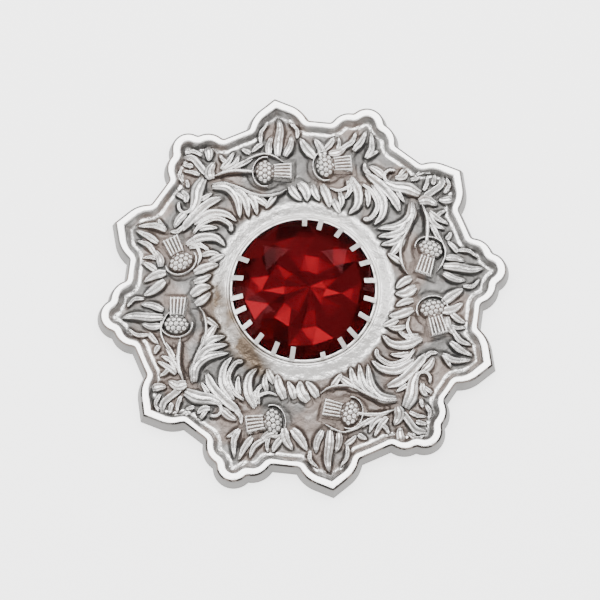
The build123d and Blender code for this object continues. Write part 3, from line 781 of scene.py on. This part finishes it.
# Cup and claws.
# A drawn cup of thin plated sheet, pressed into the seat.  Its edge is cut into
# tabs that are bent down over the stone, some of them short and one stretch bare.
cup_inner = 13.08
cup_outer = 13.53
cup_base = 2.18
cup_floor = 2.53
girdle_base = 5.61
girdle_top = 6.11
claw_under = 6.19
claw_lean = math.radians(29.0)
claw_width = 0.90
claw_thickness = 0.34
claw_reach = 1.9
claw_corner = -0.18
cup_profile = (
    # radius, height: out along the base, up the side, over the edge, down and back in
    (1.0, cup_base), (cup_outer - 0.3, cup_base), (cup_outer, cup_base + 0.3), (cup_outer, 5.2),
    (cup_outer, girdle_top - 0.12), (cup_outer - 0.08, girdle_top), (cup_inner + 0.08, girdle_top),
    (cup_inner, girdle_top - 0.08), (cup_inner, 5.2), (cup_inner, cup_floor + 0.2),
    (cup_inner - 0.2, cup_floor), (1.0, cup_floor),
)
cup_steps = 240
claws = (
    # turn, reach
    (80.8, 0.85), (67.4, 1.0), (49.7, 1.0), (30.8, 1.0), (14.6, 1.0), (-1.5, 1.0), (-18.0, 1.0),
    (-33.9, 1.0), (-51.3, 1.0), (-63.6, 0.9), (-82.5, 0.45), (-107.6, 1.0), (-123.0, 1.0),
    (-139.2, 0.9), (-154.7, 0.9), (-168.8, 1.0), (-180.4, 1.0), (162.6, 1.0), (145.7, 1.0),
)


def turned(name, outline_points, steps):
    """A closed mesh turned from an outline that starts and ends near the stone's axis."""
    angle = np.linspace(0, math.tau, steps, endpoint=False)
    spots = [(r * math.cos(a) * mm, r * math.sin(a) * mm, z * mm) for r, z in outline_points for a in angle]
    under, over = len(spots), len(spots) + 1
    spots += [(0, 0, outline_points[0][1] * mm), (0, 0, outline_points[-1][1] * mm)]
    sides = []
    for c in range(steps):
        n = (c + 1) % steps
        sides += [(k + c, k + n, k + steps + n, k + steps + c) for k in range(0, under - steps, steps)]
        sides += [(under, n, c), (over, under - steps + c, under - steps + n)]
    mesh = bpy.data.meshes.new(name)
    mesh.from_pydata(spots, [], sides)
    shade_smooth(mesh)
    return mesh


cup_mesh = turned("claw_cup", cup_profile, cup_steps)
cup = in_scene("claw_cup", cup_mesh)

claw_turns = [math.radians(turn) for turn, reach in claws]
claw_roots = bpy.data.meshes.new("claw_roots")
claw_roots.from_pydata([
    (cup_outer * math.cos(turn) * mm, cup_outer * math.sin(turn) * mm, claw_under * mm)
    for turn in claw_turns], [], [])
mark(claw_roots, "facing", claw_turns)
mark(claw_roots, "reach", [reach for turn, reach in claws])
claw_ring = in_scene("claws", claw_roots)

bright_sheet = (0.93, 0.92, 0.91, 1)
tarnished_sheet = (0.50, 0.48, 0.44, 1)
sheet_finish = Finish("claw_cup", Metallic=1.0, Specular_IOR_Level=0.5)
sheet_place = sheet_finish.node("ShaderNodeTexCoord", {}, {}, output=3)
tarnish = sheet_finish.between(sheet_finish.noise(sheet_place, 700.0, 3.0), 0.50, 0.75)
sheet_finish.feed(
    Base_Color=sheet_finish.mix(tarnish, bright_sheet, tarnished_sheet),
    Roughness=0.34 + tarnish * 0.15,
    Normal=sheet_finish.node("ShaderNodeBump", {}, {
        "Strength": 0.25, "Distance": 0.0002, "Height": sheet_finish.noise(sheet_place, 2500.0)}))
cup_mesh.materials.append(sheet_finish.material)

claw_tree = bpy.data.node_groups.new("claws_round_the_cup", "GeometryNodeTree")
claw_tree.interface.new_socket("Geometry", in_out="INPUT", socket_type="NodeSocketGeometry")
claw_inputs = {}
for label in ("Width", "Length", "Thickness", "Lean", "Corner"):
    claw_inputs[label] = claw_tree.interface.new_socket(label, in_out="INPUT", socket_type="NodeSocketFloat")
claw_tree.interface.new_socket("Geometry", in_out="OUTPUT", socket_type="NodeSocketGeometry")


def grow(kind, settings=None, **sockets):
    """One node of the claws' tree, its settings first and then its sockets."""
    made = claw_tree.nodes.new(kind)
    for name, value in (settings or {}).items():
        setattr(made, name, value)
    for name, value in sockets.items():
        socket = made.inputs[int(name[1:])] if name[1:].isdigit() else made.inputs[name.replace("_", " ")]
        if isinstance(value, bpy.types.NodeSocket):
            claw_tree.links.new(value, socket)
        else:
            socket.default_value = value
    return made


def reckon(operation, *values):
    """The result of one sum in the claws' tree."""
    sockets = {f"_{k}": value for k, value in enumerate(values)}
    return grow("ShaderNodeMath", {"operation": operation}, **sockets).outputs[0]


given = claw_tree.nodes.new("NodeGroupInput").outputs
tab_size = grow("ShaderNodeCombineXYZ", X=given["Length"], Y=given["Width"], Z=given["Thickness"]).outputs[0]
tab = grow("GeometryNodeMeshCube", Size=tab_size, Vertices_X=9, Vertices_Y=3, Vertices_Z=2).outputs["Mesh"]
position = grow("GeometryNodeInputPosition").outputs[0]
parts = grow("ShaderNodeSeparateXYZ", Vector=position).outputs
half_length = reckon("MULTIPLY", given["Length"], 0.5)
inward_run = reckon("SUBTRACT", half_length, parts["X"])
slope = reckon("TANGENT", given["Lean"])
past_corner = reckon("SUBTRACT", inward_run, given["Corner"])
climb = reckon("MULTIPLY", past_corner, slope)
back_x = reckon("MULTIPLY", inward_run, -1.0)
lifted = reckon("ADD", climb, parts["Z"])
bent_place = grow("ShaderNodeCombineXYZ", X=back_x, Y=parts["Y"], Z=lifted).outputs[0]
bent = grow("GeometryNodeSetPosition", Geometry=tab, Position=bent_place).outputs[0]
softened = grow("GeometryNodeSubdivisionSurface", Mesh=bent, Level=2, Edge_Crease=0.72).outputs[0]
facing = grow("GeometryNodeInputNamedAttribute", {"data_type": "FLOAT"}, Name="facing").outputs[0]
reach_of = grow("GeometryNodeInputNamedAttribute", {"data_type": "FLOAT"}, Name="reach").outputs[0]
turn_of = grow("ShaderNodeCombineXYZ", Z=facing).outputs[0]
size_of = grow("ShaderNodeCombineXYZ", X=reach_of, Y=1.0, Z=1.0).outputs[0]
placed = grow("GeometryNodeInstanceOnPoints", Points=given["Geometry"], Instance=softened,
              Rotation=turn_of, Scale=size_of).outputs[0]
real = grow("GeometryNodeRealizeInstances", Geometry=placed).outputs[0]
painted = grow("GeometryNodeSetMaterial", Geometry=real, Material=sheet_finish.material).outputs[0]
claw_tree.links.new(painted, claw_tree.nodes.new("NodeGroupOutput").inputs[0])

claw_maker = claw_ring.modifiers.new("claws", "NODES")
claw_maker.node_group = claw_tree
claw_sizes = {
    "Width": claw_width * mm, "Length": (claw_reach + cup_outer - cup_inner) * mm,
    "Thickness": claw_thickness * mm, "Lean": claw_lean, "Corner": claw_corner * mm,
}
for label, value in claw_sizes.items():
    claw_maker[claw_inputs[label].identifier] = value
bpy.context.view_layer.update()
graph = bpy.context.evaluated_depsgraph_get()
claws_mesh = bpy.data.meshes.new_from_object(claw_ring.evaluated_get(graph))
claw_ring.modifiers.clear()
claw_ring.data = claws_mesh
for piece in (cup, claw_ring):
    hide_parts("stone_setting")
    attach(piece, "root")

# Stone.
# A round brilliant of deep red glass with a foiled back: table, star, kite and
# girdle facets over a pavilion whose foil throws the light back through the front.
stone_radius = 13.0
table_radius = 7.5
stone_sides = 8
girdle_facets = 16
culet_height = 2.61
culet_place = (1.3, 0.9)
table_height = 8.11
stone_turn = math.radians(12.0)
crown_corner_radius = 10.79
crown_corner_height = 7.21
back_rows = (
    # radius, height, half steps round, unevenness
    (10.2, 4.30, 1, 0.70), (6.9, 3.75, 0, 0.60), (3.9, 3.30, 1, 0.42),
)
sideways_unevenness = 0.09
uneven = (0.9, -0.5, 0.2, -1.0, 0.6, 1.0, -0.8, 0.1, -0.3, 0.8, -0.9, 0.5, -0.1, 1.0, -0.6, -1.0, 0.4)


def ring_of(radius, height, count, half_steps):
    """Corners round the stone's axis, in metres."""
    turn_of_corner = [stone_turn + math.tau * (k + half_steps / 2) / count for k in range(count)]
    return [(radius * math.cos(a) * mm, radius * math.sin(a) * mm, height * mm) for a in turn_of_corner]


stone_points = (
    ring_of(table_radius, table_height, stone_sides, 0)
    + ring_of(crown_corner_radius, crown_corner_height, stone_sides, 1)
    + ring_of(stone_radius, girdle_top, girdle_facets, 0)
    + ring_of(stone_radius, girdle_base, girdle_facets, 0))
star, upper, lower = stone_sides, 2 * stone_sides, 2 * stone_sides + girdle_facets
row_starts = [lower]
for row, (radius, height, half_steps, unevenness) in enumerate(back_rows):
    row_starts.append(len(stone_points))
    for k, (x, y, z) in enumerate(ring_of(radius, height, girdle_facets, half_steps)):
        stretch = 1 + sideways_unevenness * uneven[(3 * k + row) % len(uneven)]
        lift = unevenness * uneven[(5 * row + k) % len(uneven)] * mm
        stone_points.append((x * stretch, y, z + lift))
culet = len(stone_points)
stone_points.append((*(part * mm for part in culet_place), culet_height * mm))
stone_faces = [list(range(stone_sides))]
for k in range(stone_sides):
    n, p = (k + 1) % stone_sides, (k - 1) % stone_sides
    here, halfway, ahead = 2 * k, 2 * k + 1, (2 * k + 2) % girdle_facets
    stone_faces += [
        [k, star + k, n], [k, star + p, upper + here, star + k],
        [star + k, upper + here, upper + halfway], [star + k, upper + halfway, upper + ahead],
        [upper + here, lower + here, lower + halfway, upper + halfway],
        [upper + halfway, lower + halfway, lower + ahead, upper + ahead],
    ]
foil_from = len(stone_faces)
for outer, inner, (radius, height, half_steps, unevenness) in zip(row_starts, row_starts[1:], back_rows):
    for k in range(girdle_facets):
        n = (k + 1) % girdle_facets
        if half_steps:
            stone_faces += [[outer + k, inner + k, outer + n], [outer + n, inner + k, inner + n]]
        else:
            stone_faces += [[outer + k, inner + k, inner + n], [outer + k, inner + n, outer + n]]
stone_faces += [
    [row_starts[-1] + k, culet, row_starts[-1] + (k + 1) % girdle_facets] for k in range(girdle_facets)]
stone_mesh = bpy.data.meshes.new("red_stone")
stone_mesh.from_pydata(stone_points, [], stone_faces)
stone = in_scene("red_stone", stone_mesh)

stone_glass = Finish("red_glass", Transmission_Weight=1.0, IOR=1.20, Roughness=0.01, Specular_IOR_Level=0.3,
                     Specular_Tint=(1.0, 0.40, 0.42, 1), Base_Color=(0.62, 0.09, 0.11, 1))
stone_foil = Finish("red_foil", Metallic=1.0, Roughness=0.19, Base_Color=(0.165, 0.035, 0.045, 1))
stone_mesh.materials.append(stone_glass.material)
stone_mesh.materials.append(stone_foil.material)
for number, face in enumerate(stone_mesh.polygons):
    face.material_index = 1 if number >= foil_from else 0
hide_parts("stone")
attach(stone, "root")

# Pin.
# Hinge block, steel wire with a ground point and a folded catch, soldered behind
# the plate.  It keeps its solid and gets the dull shine of plated wire.
dull_wire = (0.55, 0.54, 0.52, 1)
bright_wire = (0.75, 0.74, 0.72, 1)
pin_finish = Finish("pin_steel", Metallic=1.0)
pin_place = pin_finish.node("ShaderNodeTexCoord", {}, {}, output=3)
drawn = pin_finish.noise(pin_finish.node("ShaderNodeMapping", {}, {
    "Vector": pin_place, "Scale": (200.0, 3000.0, 3000.0)}), 1.0, 3.0)
pin_finish.feed(
    Base_Color=pin_finish.mix(pin_finish.between(drawn, 0.3, 0.7), dull_wire, bright_wire),
    Roughness=0.26 + drawn * 0.15)
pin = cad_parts["back_pin"]
pin.data.materials.clear()
pin.data.materials.append(pin_finish.material)

# Floor, light and camera.
# The brooch lies on its back on a pale surface, under a wide soft light, seen from
# just in front of straight above.
floor_mesh = bpy.data.meshes.new("floor")
floor_half = 1.2
floor_mesh.from_pydata([(-floor_half, -floor_half, 0), (floor_half, -floor_half, 0),
                        (floor_half, floor_half, 0), (-floor_half, floor_half, 0)], [], [(0, 1, 2, 3)])
floor = in_scene("floor", floor_mesh)
floor_finish = Finish("pale_floor", Roughness=0.9, Base_Color=(0.93, 0.93, 0.93, 1), Specular_IOR_Level=0.1,
                      Emission_Color=(1, 1, 1, 1), Emission_Strength=2.2)
floor_mesh.materials.append(floor_finish.material)


def soft_light(name, stand, aim, size, power):
    """A rectangle of light at its stand, turned to what it is aimed at."""
    lamp = bpy.data.lights.new(name, "AREA")
    lamp.shape = "RECTANGLE"
    lamp.size, lamp.size_y = size
    lamp.energy = power
    held = in_scene(name, lamp)
    held.location = stand
    held.rotation_euler = (Vector(aim) - Vector(stand)).to_track_quat("-Z", "Y").to_euler()


# The tent over the brooch has a gap where the camera's lens would look through it.
tent_height = 0.50
tent_brightness = 18.0
tent = (
    # name, left, right, near, far
    ("tent_left", -0.22, -0.008, -0.03, 0.38), ("tent_right", 0.038, 0.26, -0.03, 0.38),
    ("tent_far", -0.008, 0.038, 0.123, 0.38), ("tent_near", -0.008, 0.038, -0.03, 0.081),
)
for name, left, right, near, far in tent:
    over = ((left + right) / 2, (near + far) / 2)
    soft_light(name, (*over, tent_height), (*over, 0), (right - left, far - near),
               tent_brightness * (right - left) * (far - near))
panels = (
    # name, stand, size, power
    ("left_panel", (-0.52, 0.02, 0.30), (0.22, 0.5), 1.1),
    ("right_panel", (0.52, 0.06, 0.26), (0.16, 0.5), 0.8),
)
for name, stand, size, power in panels:
    soft_light(name, stand, (0, 0, 0), size, power)
studio_white = (1.0, 0.98, 0.96, 1)
world = bpy.data.worlds.new("studio")
bpy.context.scene.world = world
world.use_nodes = True
world.node_tree.nodes["Background"].inputs["Color"].default_value = studio_white

camera_turn = math.radians(-8.3)
camera_rise = math.radians(78.0)
camera_distance = 0.5
picture_width = 600
pixels_for_each_mm = 5.396
middle_of_brooch = (303.5, 296.3)
back = Vector((math.sin(camera_turn) * math.cos(camera_rise), -math.cos(camera_turn) * math.cos(camera_rise),
               math.sin(camera_rise)))
across_view = Vector((math.cos(camera_turn), math.sin(camera_turn), 0))
up_view = back.cross(across_view)
half_picture = picture_width / 2
aim = -(across_view * (middle_of_brooch[0] - half_picture)
        + up_view * (half_picture - middle_of_brooch[1])) / pixels_for_each_mm * mm
lens = bpy.data.cameras.new("camera")
lens.sensor_width = 36.0
lens.lens = lens.sensor_width * camera_distance / (picture_width / pixels_for_each_mm * mm)
lens.clip_start = 0.01
camera = in_scene("camera", lens)
camera.matrix_world = Matrix.Translation(aim + back * camera_distance) @ Matrix(
    (across_view, up_view, back)).transposed().to_4x4()
bpy.context.scene.camera = camera
